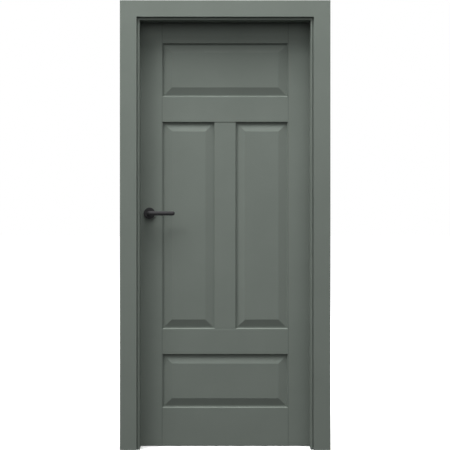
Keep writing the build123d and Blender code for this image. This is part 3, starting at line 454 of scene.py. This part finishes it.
# %% Black powder coat
BLACK = sRGB(45, 45, 46)
BLACK_PALER = sRGB(49, 49, 50)
BLACK_RUBBED = sRGB(78, 78, 78)


def powder_coated(name):
    """A fine grained black coat, smoother where hands rub it."""
    material, tree, shader = new_finish(name)
    shader.inputs["Specular IOR Level"].default_value = 0.1
    coat = use_group(tree, coat_group, Dimples=1500.0, Drift=25.0)
    rubbed = weaker(tree, use_group(tree, edge_group, Width=0.0008, Patch=90.0)["Mask"], share=0.5)
    dust = weaker(tree, use_group(tree, dust_group, Grain=600.0)["Mask"], share=0.08)
    colour = blend_colours(tree, coat["Cloud"], BLACK, BLACK_PALER)
    colour = blend_colours(tree, rubbed, colour, BLACK_RUBBED)
    colour = blend_colours(tree, dust, colour, DUST)
    roughness = spread(tree, coat["Cloud"], to_low=0.58, to_high=0.66)
    roughness = math_node(tree, "SUBTRACT", roughness, weaker(tree, rubbed, share=0.12))
    end_finish(tree, shader, colour, roughness, coat["Height"], bump_strength=0.25, bump_depth=0.0002)
    return material


black_metal = powder_coated("black powder coat")
print(black_metal.name, "ready")

# %% [markdown]
# ## Bare beech, nylon and rubber
# The dowels and the hinge blocks are bare beech, the washers and rosette bases are moulded
# nylon, and the seal in the stop is a soft dull rubber. They hardly show, but each still gets
# the texture that a close view would find: fibres in the beech, a fine grain on the nylon and
# a chalky bloom on the rubber.

# %% Bare beech
BEECH_PALE = sRGB(208, 170, 126)
BEECH_DARK = sRGB(188, 146, 102)
BEECH_FIBRE = sRGB(150, 108, 70)


def bare_wood(name, stretch):
    """Planed beech whose fibres run the given way."""
    material, tree, shader = new_finish(name)
    fibres = use_group(tree, fibre_group, Stretch=stretch, Twist=0.6)
    colour = blend_colours(tree, fibres["Bands"], BEECH_PALE, BEECH_DARK)
    colour = blend_colours(tree, spread(tree, fibres["Fibres"], low=0.5, high=0.7), colour, BEECH_FIBRE)
    roughness = spread(tree, fibres["Fibres"], to_low=0.6, to_high=0.75)
    end_finish(tree, shader, colour, roughness, fibres["Fibres"], bump_strength=0.3, bump_depth=0.0005)
    return material


beech_upright = bare_wood("beech upright", (120.0, 120.0, 6.0))
beech_level = bare_wood("beech level", (6.0, 120.0, 120.0))
print("beech ready")

# %% Nylon and rubber
def moulded(name, dark, pale, dimples, rough, dusty):
    """A moulded plastic or rubber with a fine grain and a pale bloom."""
    material, tree, shader = new_finish(name)
    coat = use_group(tree, coat_group, Dimples=dimples, Drift=40.0)
    bloom = weaker(tree, use_group(tree, dust_group, Grain=500.0)["Mask"], share=dusty)
    colour = blend_colours(tree, coat["Cloud"], dark, pale)
    colour = blend_colours(tree, bloom, colour, DUST)
    roughness = spread(tree, coat["Cloud"], to_low=rough - 0.05, to_high=rough + 0.05)
    end_finish(tree, shader, colour, roughness, coat["Height"], bump_strength=0.2, bump_depth=0.0002)
    return material


nylon = moulded(
    "black nylon", dark=sRGB(36, 36, 37), pale=sRGB(44, 44, 45), dimples=2500.0, rough=0.4, dusty=0.1)
rubber = moulded(
    "seal rubber", dark=sRGB(78, 80, 77), pale=sRGB(92, 94, 90), dimples=1200.0, rough=0.75, dusty=0.3)
print("nylon and rubber ready")

# %% [markdown]
# ## Plated metals
# The hinges are satin nickel, the latch parts and screws are zinc plated, and the spring is
# oiled steel. All are metal with very fine lines from the brushing or drawing. The lines are
# the wood fibre group again, squeezed much harder, driving the roughness and a weak bump.

# %% Plated metal finishes
def plated(name, pale, dark, rough, stretch):
    """A metal with fine lines, paler where its edges are rubbed."""
    material, tree, shader = new_finish(name)
    shader.inputs["Metallic"].default_value = 1.0
    lines = use_group(tree, fibre_group, Stretch=stretch, Twist=0.3)
    cloud = use_group(tree, coat_group, Drift=35.0)["Cloud"]
    rubbed = weaker(tree, use_group(tree, edge_group, Width=0.0006, Patch=70.0)["Mask"], share=0.6)
    colour = blend_colours(tree, cloud, dark, pale)
    colour = blend_colours(tree, rubbed, colour, pale)
    smoother = rough - 0.06
    rougher = rough + 0.08
    roughness = spread(tree, lines["Fibres"], low=0.2, high=0.8, to_low=smoother, to_high=rougher)
    end_finish(tree, shader, colour, roughness, lines["Fibres"], bump_strength=0.15, bump_depth=0.0001)
    return material


nickel = plated(
    "satin nickel", pale=sRGB(176, 172, 164), dark=sRGB(156, 152, 146), rough=0.34,
    stretch=(40.0, 40.0, 700.0))
zinc = plated(
    "zinc plate", pale=sRGB(172, 174, 176), dark=sRGB(150, 152, 148), rough=0.38,
    stretch=(90.0, 500.0, 90.0))
spring_steel = plated(
    "oiled steel", pale=sRGB(140, 140, 142), dark=sRGB(112, 112, 116), rough=0.28,
    stretch=(600.0, 60.0, 60.0))
print("metals ready")

# %% [markdown]
# ## From bmesh to object
# A piece is shaped in a bmesh, which is only a workbench. To be shown, it becomes a mesh with
# a finish, and an object that holds the mesh. The object stays at the origin and the place is
# in the mesh, because the patterns read object coordinates.

# %% Helper that makes an object
def new_piece(name, work, finish):
    """Turns a bmesh into an object with its finish, and clears the bmesh away."""
    mesh = bpy.data.meshes.new(name)
    work.to_mesh(mesh)
    work.free()
    mesh.materials.append(finish)
    piece = bpy.data.objects.new(name, mesh)
    bpy.context.scene.collection.objects.link(piece)
    return piece


def count_open_edges(work):
    """How many edges don't have a face on each side. A closed piece has none."""
    return sum(len(edge.link_faces) != 2 for edge in work.edges)


print("pieces can be made")

# %% [markdown]
# ## Screw heads with a cross recess
# The CAD screws are plain: a flat round head and a shank. A real head has a recess for the
# driver. Carving it as a list of points would be slow, so tools do it: a disc is scored by
# four straight planes that mark out the arms of a cross, one more ring marks how far the arms
# reach, and the faces inside are pushed down and narrowed to a taper. Pulling the disc's rim
# down and in then makes the countersunk head, and the shank gets a thread from a few rings
# of alternating width.

# %% Carve the cross
HEAD_RADIUS = 0.0038
HEAD_STEPS = 40
ARM_HALF_WIDTH = 0.0005
ARM_REACH = 0.0023
ARM_LIMIT = 0.95 * ARM_REACH
RECESS_DEPTH = 0.0014
RECESS_TAPER = 0.55


def in_cross(face):
    """Whether a face of the scored disc lies in an arm of the cross."""
    middle = face.calc_center_median()
    return min(abs(middle.x), abs(middle.y)) < ARM_HALF_WIDTH and middle.length < ARM_LIMIT


def carve_cross(work):
    """Scores a cross in the flat disc and pushes it down."""
    bmesh.ops.inset_region(work, faces=work.faces[:], thickness=HEAD_RADIUS - ARM_REACH)
    for normal in ((1, 0, 0), (0, 1, 0)):
        for side in (-ARM_HALF_WIDTH, ARM_HALF_WIDTH):
            everything = work.verts[:] + work.edges[:] + work.faces[:]
            bmesh.ops.bisect_plane(work, geom=everything, plane_co=Vector(normal) * side, plane_no=normal)
    cross = [face for face in work.faces if in_cross(face)]
    pushed = bmesh.ops.extrude_face_region(work, geom=cross)["geom"]
    floor_points = [item for item in pushed if isinstance(item, bmesh.types.BMVert)]
    bmesh.ops.delete(work, geom=cross, context="FACES")
    bmesh.ops.scale(work, vec=(RECESS_TAPER, RECESS_TAPER, 1), verts=floor_points)
    bmesh.ops.translate(work, vec=(0, 0, -RECESS_DEPTH), verts=floor_points)


print("the recess is", 1000 * RECESS_DEPTH, "mm deep")

# %% Model one screw
HEAD_HEIGHT = 0.002
RIM_HEIGHT = HEAD_HEIGHT * 0.15
SHANK_RADIUS = 0.002
POINT_RADIUS = SHANK_RADIUS * 0.1
SCREW_LENGTH = 0.016
THREAD_PITCH = 0.0016
THREAD_CORE = 0.0014


def new_ring(work, edges, radius, depth):
    """Pulls a round edge down to a new radius and depth, and gives the new edge."""
    made = bmesh.ops.extrude_edge_only(work, edges=edges)["geom"]
    for vertex in [item for item in made if isinstance(item, bmesh.types.BMVert)]:
        flat = Vector((vertex.co.x, vertex.co.y, 0)).normalized() * radius
        vertex.co = (flat.x, flat.y, -depth)
    return [item for item in made if isinstance(item, bmesh.types.BMEdge)]


def one_screw():
    """A screw that stands on its point below the origin, with its head's top at zero."""
    work = bmesh.new()
    bmesh.ops.create_circle(work, cap_ends=True, segments=HEAD_STEPS, radius=HEAD_RADIUS)
    carve_cross(work)
    edges = [edge for edge in work.edges if edge.is_boundary]
    edges = new_ring(work, edges, HEAD_RADIUS, RIM_HEIGHT)
    edges = new_ring(work, edges, SHANK_RADIUS, HEAD_HEIGHT)
    depth = HEAD_HEIGHT
    while depth + THREAD_PITCH < SCREW_LENGTH - THREAD_PITCH:
        edges = new_ring(work, edges, THREAD_CORE, depth + THREAD_PITCH / 2)
        edges = new_ring(work, edges, SHANK_RADIUS, depth + THREAD_PITCH)
        depth += THREAD_PITCH
    edges = new_ring(work, edges, POINT_RADIUS, SCREW_LENGTH)
    bmesh.ops.contextual_create(work, geom=edges)
    bmesh.ops.remove_doubles(work, verts=work.verts, dist=1e-7)
    bmesh.ops.recalc_face_normals(work, faces=work.faces)
    return work


test_screw = one_screw()
print("one screw has", len(test_screw.faces), "faces and", count_open_edges(test_screw), "open edges")
test_screw.free()

# %% [markdown]
# ## Put the screws in
# The CAD model says where the screws go: each screw node holds several solids, and the loose
# parts of its mesh are the single screws. The head is the widest slice at the outer end, so
# the direction in which a screw was driven is read from where its widest points lie. Each
# group of screws becomes one piece that rides with the same body as the node it replaces.

# %% Read each screw's place from the model
WIDE_SHARE = 0.4


def loose_parts(node):
    """The separate solids in a node, each as a list of its points in the room."""
    work = bmesh.new()
    work.from_mesh(node.data)
    bmesh.ops.remove_doubles(work, verts=work.verts, dist=1e-6)
    waiting = set(work.verts)
    parts = []
    while waiting:
        rim = [waiting.pop()]
        part = []
        while rim:
            vertex = rim.pop()
            part.append(node.matrix_world @ vertex.co)
            for edge in vertex.link_edges:
                other = edge.other_vert(vertex)
                if other in waiting:
                    waiting.remove(other)
                    rim.append(other)
        parts.append(part)
    work.free()
    return parts


def seat_of(points):
    """Where the middle of a screw's head is, and which way the head looks."""
    low = Vector([min(point[axis] for point in points) for axis in range(3)])
    high = Vector([max(point[axis] for point in points) for axis in range(3)])
    size = high - low
    long_axis = max(range(3), key=lambda axis: size[axis])
    middle = (low + high) / 2
    aside = (long_axis + 1) % 3
    wide = [point for point in points if abs(point[aside] - middle[aside]) > WIDE_SHARE * size[aside]]
    head_is_high = sum(point[long_axis] for point in wide) / len(wide) > middle[long_axis]
    head = middle.copy()
    head[long_axis] = high[long_axis] if head_is_high else low[long_axis]
    outwards = Vector((0, 0, 0))
    outwards[long_axis] = 1 if head_is_high else -1
    return head, outwards


first_head, first_way = seat_of(loose_parts(nodes["forend_screws"])[0])
print("a forend screw looks along", tuple(first_way), "from", tuple(round(value, 3) for value in first_head))

# %% Drive the screws
FIRST_TURN = 25
TURN_TO_NEXT = 37


def put_in_screws(node_name, body):
    """Models all the screws of one node as one piece and hides the plain ones. Each cross is
    turned a little further, because no two screws stop at the same angle."""
    whole = bmesh.new()
    seats = [seat_of(points) for points in loose_parts(nodes[node_name])]
    for count, (head, outwards) in enumerate(seats):
        screw = one_screw()
        turn = Matrix.Rotation(math.radians(FIRST_TURN + TURN_TO_NEXT * count), 4, "Z")
        stand = outwards.to_track_quat("Z", "Y").to_matrix().to_4x4()
        bmesh.ops.transform(screw, matrix=Matrix.Translation(head) @ stand @ turn, verts=screw.verts)
        mesh = bpy.data.meshes.new("single screw")
        screw.to_mesh(mesh)
        screw.free()
        whole.from_mesh(mesh)
        bpy.data.meshes.remove(mesh)
    piece = new_piece(node_name + "_crossed", whole, zinc)
    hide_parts(node_name)
    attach(piece, body)
    print(node_name, len(seats), "screws")


put_in_screws("forend_screws", "leaf")
put_in_screws("strike_screws", "frame")
put_in_screws("bracket_screws", "frame")

# %% [markdown]
# ## The latch spring
# A spring behind the bolt pushes it out again after the lever is let go. The CAD spring is a
# coil that can't give way, so a bolt that slides back would cut through its first turns. This
# one is wound as a real spring is: a small ring of wire is spun about the spring's axis while
# it moves along. The end turns lie close together, so that they press flat on the bolt and on
# the post. It rides with the leaf.

# %% Wind the latch spring
SPRING_WIRE = 0.0009
WIRE_SIDES = 12
STEPS_PER_TURN = 32
OPEN_TURNS = 4
END_TURN_RISE = 1.05 * SPRING_WIRE


def wind(work, ring, axis_point, turns, advance):
    """Winds a ring of wire round the spring's axis and along it, and gives the last ring."""
    steps = turns * STEPS_PER_TURN
    made = bmesh.ops.spin(
        work, geom=ring, cent=axis_point, axis=(1, 0, 0), dvec=(advance / steps, 0, 0),
        angle=turns * math.tau, steps=steps)
    return made["geom_last"]


def close_ring(work, ring):
    """Closes the end of the wire with one face."""
    edges = [item for item in ring if isinstance(item, bmesh.types.BMEdge)]
    bmesh.ops.contextual_create(work, geom=edges)


spring_low, spring_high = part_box("latch_spring")
spring_middle = (spring_low + spring_high) / 2
spring_length = spring_high.x - spring_low.x
coil_radius = (spring_high.z - spring_low.z - SPRING_WIRE) / 2
open_rise = spring_length - SPRING_WIRE - 2 * END_TURN_RISE
coil_start = Vector((spring_low.x + SPRING_WIRE / 2, spring_middle.y + coil_radius, spring_middle.z))

work = bmesh.new()
bmesh.ops.create_circle(work, segments=WIRE_SIDES, radius=SPRING_WIRE / 2)
bmesh.ops.translate(work, vec=coil_start, verts=work.verts)
first_ring = work.verts[:] + work.edges[:]
last_ring = wind(work, first_ring, spring_middle, 1, END_TURN_RISE)
last_ring = wind(work, last_ring, spring_middle, OPEN_TURNS, open_rise)
last_ring = wind(work, last_ring, spring_middle, 1, END_TURN_RISE)
close_ring(work, first_ring)
close_ring(work, last_ring)
bmesh.ops.recalc_face_normals(work, faces=work.faces)
print("the spring has", len(work.faces), "faces and", count_open_edges(work), "open edges")

# %% Put the spring in its case
spring_piece = new_piece("latch_spring_wound", work, spring_steel)
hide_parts("latch_spring")
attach(spring_piece, "leaf")
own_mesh(spring_piece)

# %% [markdown]
# ## Light
# In the photograph the light comes from above and in front, a little more from the left: the
# undersides of the mouldings are nearly black and their upper edges are the brightest lines.
# Two long strips high in front give most of it. They nearly graze the boards, so the door
# grows darker towards its foot. A square lamp brightens the left, and a wide panel further
# forward opens the shadows. One lamp behind and one on each side light the faces that the
# photograph doesn't show. The side lamps stand behind the front of the door, so they don't
# reach into its recess.

# %% Hang the lamps
FRONT_TARGET = (0, 0, 1.3)
REAR_TARGET = (0, 0, 1.1)


def lamp(name, place, target, size, power):
    """A soft lamp of a width and a height in metres that looks at a point."""
    data = bpy.data.lights.new(name, "AREA")
    data.shape = "RECTANGLE"
    data.size, data.size_y = size
    data.energy = power
    hung = bpy.data.objects.new(name, data)
    bpy.context.scene.collection.objects.link(hung)
    hung.location = place
    aim = Vector(target) - Vector(place)
    hung.rotation_euler = aim.to_track_quat("-Z", "Y").to_euler()


lamp("left lamp", (-3.3, -2.3, 5.8), FRONT_TARGET, size=(2.2, 2.2), power=200)
lamp("front strip", (-0.4, -2.4, 6.8), FRONT_TARGET, size=(5.0, 1.4), power=215)
lamp("overhead strip", (-0.2, -1.3, 7.1), FRONT_TARGET, size=(6.0, 1.0), power=400)
lamp("wide front panel", (0, -6.5, 4.6), (0, 0, 4.0), size=(12.0, 4.4), power=135)
lamp("rear lamp", (2.6, 3.4, 3.4), REAR_TARGET, size=(2.4, 2.0), power=180)
lamp("right side lamp", (4.8, 2.4, 2.4), REAR_TARGET, size=(4.0, 3.6), power=105)
lamp("left side lamp", (-4.8, 2.4, 2.4), REAR_TARGET, size=(4.0, 3.6), power=40)
print(len(bpy.data.lights), "lamps")

# %% [markdown]
# ## Floor and background
# The picture's background is plain white, but the floor has to keep the door's shadow. Near
# the door the lamps light a pale floor until it looks white, and the shadow shows in it.
# Lamps fade with distance, so further out the floor glows a little, more with each metre.
# Only the camera, mirrors and glass see this pale floor. For the light that bounces off it
# the floor is nearly black, because a white one would light the door from below. The
# background is white for the camera and a plain grey for the light that falls on the door.

# %% Lay the floor
FLOOR_SIZE = 60.0
LAMPLIT_RADIUS = 1.5
UNLIT_RADIUS = 6.5
FLOOR_AS_SEEN = 0.9
FLOOR_AS_LIT = 0.02
FLOOR_GLOW = 0.75


def seen_by_camera(tree):
    """One for what the camera sees, also in a mirror or through glass, and zero otherwise."""
    path = add(tree, "LightPath").outputs
    seen = math_node(tree, "MAXIMUM", path["Is Camera Ray"], path["Is Glossy Ray"])
    return math_node(tree, "MAXIMUM", seen, path["Is Transmission Ray"])


material, tree, shader = new_finish("floor")
shader.inputs["Roughness"].default_value = 0.9
shader.inputs["Specular IOR Level"].default_value = 0.0
shader.inputs["Emission Strength"].default_value = 1.0
seen = seen_by_camera(tree)
from_door = add(tree, "VectorMath", {0: place_on_piece(tree)}, operation="LENGTH").outputs["Value"]
faded = spread(tree, from_door, LAMPLIT_RADIUS, UNLIT_RADIUS, to_high=FLOOR_GLOW)
glow = math_node(tree, "MULTIPLY", seen, faded)
floor_colour = blend_colours(tree, seen, grey(FLOOR_AS_LIT), grey(FLOOR_AS_SEEN))
glow_colour = blend_colours(tree, glow, grey(0.0), grey(1.0))
tree.links.new(floor_colour, shader.inputs["Base Color"])
tree.links.new(glow_colour, shader.inputs["Emission Color"])

work = bmesh.new()
bmesh.ops.create_grid(work, x_segments=1, y_segments=1, size=FLOOR_SIZE / 2)
new_piece("floor", work, material)
print("the floor is", FLOOR_SIZE, "m across")

# %% Set the background
GREY_AROUND = 0.4
world = bpy.data.worlds.new("studio")
bpy.context.scene.world = world
world.use_nodes = True
tree = world.node_tree
sky = blend_colours(tree, seen_by_camera(tree), grey(GREY_AROUND), grey(1.0))
tree.links.new(sky, tree.nodes["Background"].inputs["Color"])
print("the door stands in a grey of", GREY_AROUND)

# %% [markdown]
# ## Dress the pieces
# Each CAD piece keeps its shape and gets a finish in its material slots. The boards are
# sorted by the way their fibres run, which is the long way of each board.

# %% Hand out the finishes
def dress(finish, *names):
    """Puts a finish on CAD pieces."""
    for name in names:
        piece = nodes[name]
        if not piece.material_slots:
            piece.data.materials.append(finish)
        for slot in piece.material_slots:
            slot.material = finish


for side in ("lock_side", "hinge_side"):
    dress(frame_upright, "front_architrave_" + side, "rear_architrave_" + side)
dress(frame_upright, "lock_jamb", "hinge_jamb")
dress(frame_level, "head_jamb", "front_architrave_head", "rear_architrave_head")
dress(leaf_upright, "lock_stile", "hinge_stile", "muntin", "left_panel", "right_panel")
dress(leaf_level, "top_rail", "upper_cross_rail", "lower_cross_rail", "bottom_rail")
dress(leaf_level, "top_panel", "bottom_panel")
dress(black_metal, "front_lever", "rear_lever", "front_rosette", "rear_rosette", "grub_screws")
dress(black_metal, "forend", "strike_plate")
dress(beech_upright, "hinge_blocks")
dress(beech_level, "dowels")
dress(nylon, "hinge_washers", "front_rosette_base", "rear_rosette_base")
dress(rubber, "gasket")
dress(nickel, "hinge_frame_halves", "hinge_leaf_halves", "hinge_pins")
dress(zinc, "corner_brackets", "bracket_screws", "strike_screws", "forend_screws")
dress(zinc, "latch_case", "latch_case_cover", "latch_bolt", "spindle", "follower", "through_bolts")
dress(spring_steel, "latch_spring")
print(len(nodes), "pieces dressed")

# %% [markdown]
# ## Look at it plainly
# The Standard view shows each colour as it is written.

# %% Show the colours as written
bpy.context.scene.view_settings.view_transform = "Standard"
